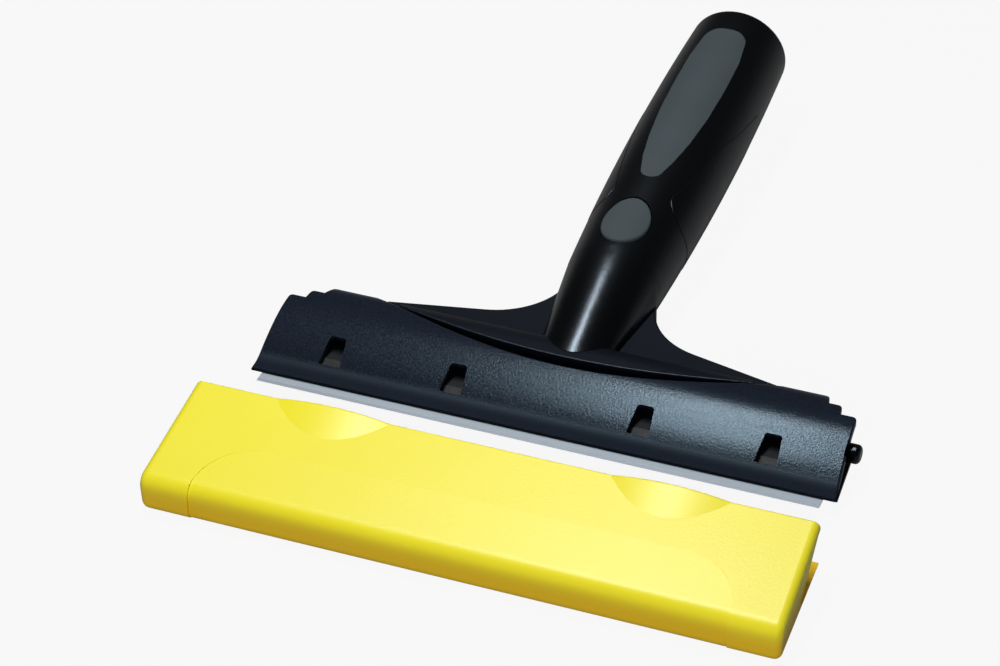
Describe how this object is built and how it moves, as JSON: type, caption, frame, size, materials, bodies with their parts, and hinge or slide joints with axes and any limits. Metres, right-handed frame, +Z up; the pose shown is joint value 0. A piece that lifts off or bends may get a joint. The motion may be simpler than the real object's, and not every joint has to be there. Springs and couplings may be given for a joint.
{
  "type": "window scraper",
  "caption": "Long-bladed window scraper with a barrel handle, a wide clamping head, a press-button pole socket and a slide-on trough-shaped blade cap.",
  "frame": {"origin": "on the table, under the middle of scraper and cap as they lie", "axes": "+X along the blade towards the release knob, +Y from the cutting edge to the handle's end, +Z up"},
  "size_m": [0.1646, 0.2224, 0.0362],
  "materials": {
    "handle_plastic": "satin moulded black",
    "grained_plastic": "fine mould grain, black",
    "grip_rubber": "soft matt grey",
    "latch_plastic": "moulded dark grey",
    "blade_steel": "ground steel",
    "strip_steel": "blackened spring strip",
    "spring_steel": "bright wire and zinc",
    "cap_plastic": "fine satin yellow"
  },
  "bodies": {
    "scraper": {"handle_body": "handle_plastic", "thumb_grip": "grip_rubber", "front_cover": "grained_plastic", "back_plate": "grained_plastic", "blade": "blade_steel", "pressure_strip": "strip_steel", "plate_screws": "spring_steel", "cover_screws": "spring_steel", "bar_spring": "spring_steel", "button_spring_front": "spring_steel", "button_spring_rear": "spring_steel"},
    "release": {"release_bar": "handle_plastic", "release_knob": "handle_plastic"},
    "button": {"lock_button": "grip_rubber", "latch_ring": "latch_plastic"},
    "cap": {"cap": "cap_plastic"}
  },
  "joints": [
    {"name": "release_push", "type": "slide", "parent": "scraper", "child": "release", "axis": [-1, 0, 0], "range_m": [0, 0.003], "stiffness_N_per_m": 800, "springref_m": -0.002, "deforming": ["bar_spring"]},
    {"name": "button_press", "type": "slide", "parent": "scraper", "child": "button", "axis": [0, 0.1045, -0.9945], "range_m": [0, 0.002], "stiffness_N_per_m": 1500, "springref_m": -0.001, "deforming": ["button_spring_front", "button_spring_rear"]},
    {"name": "cap_slide", "type": "slide", "parent": "scraper", "child": "cap", "axis": [0, 1, 0], "range_m": [0, 0.046]}
  ]
}
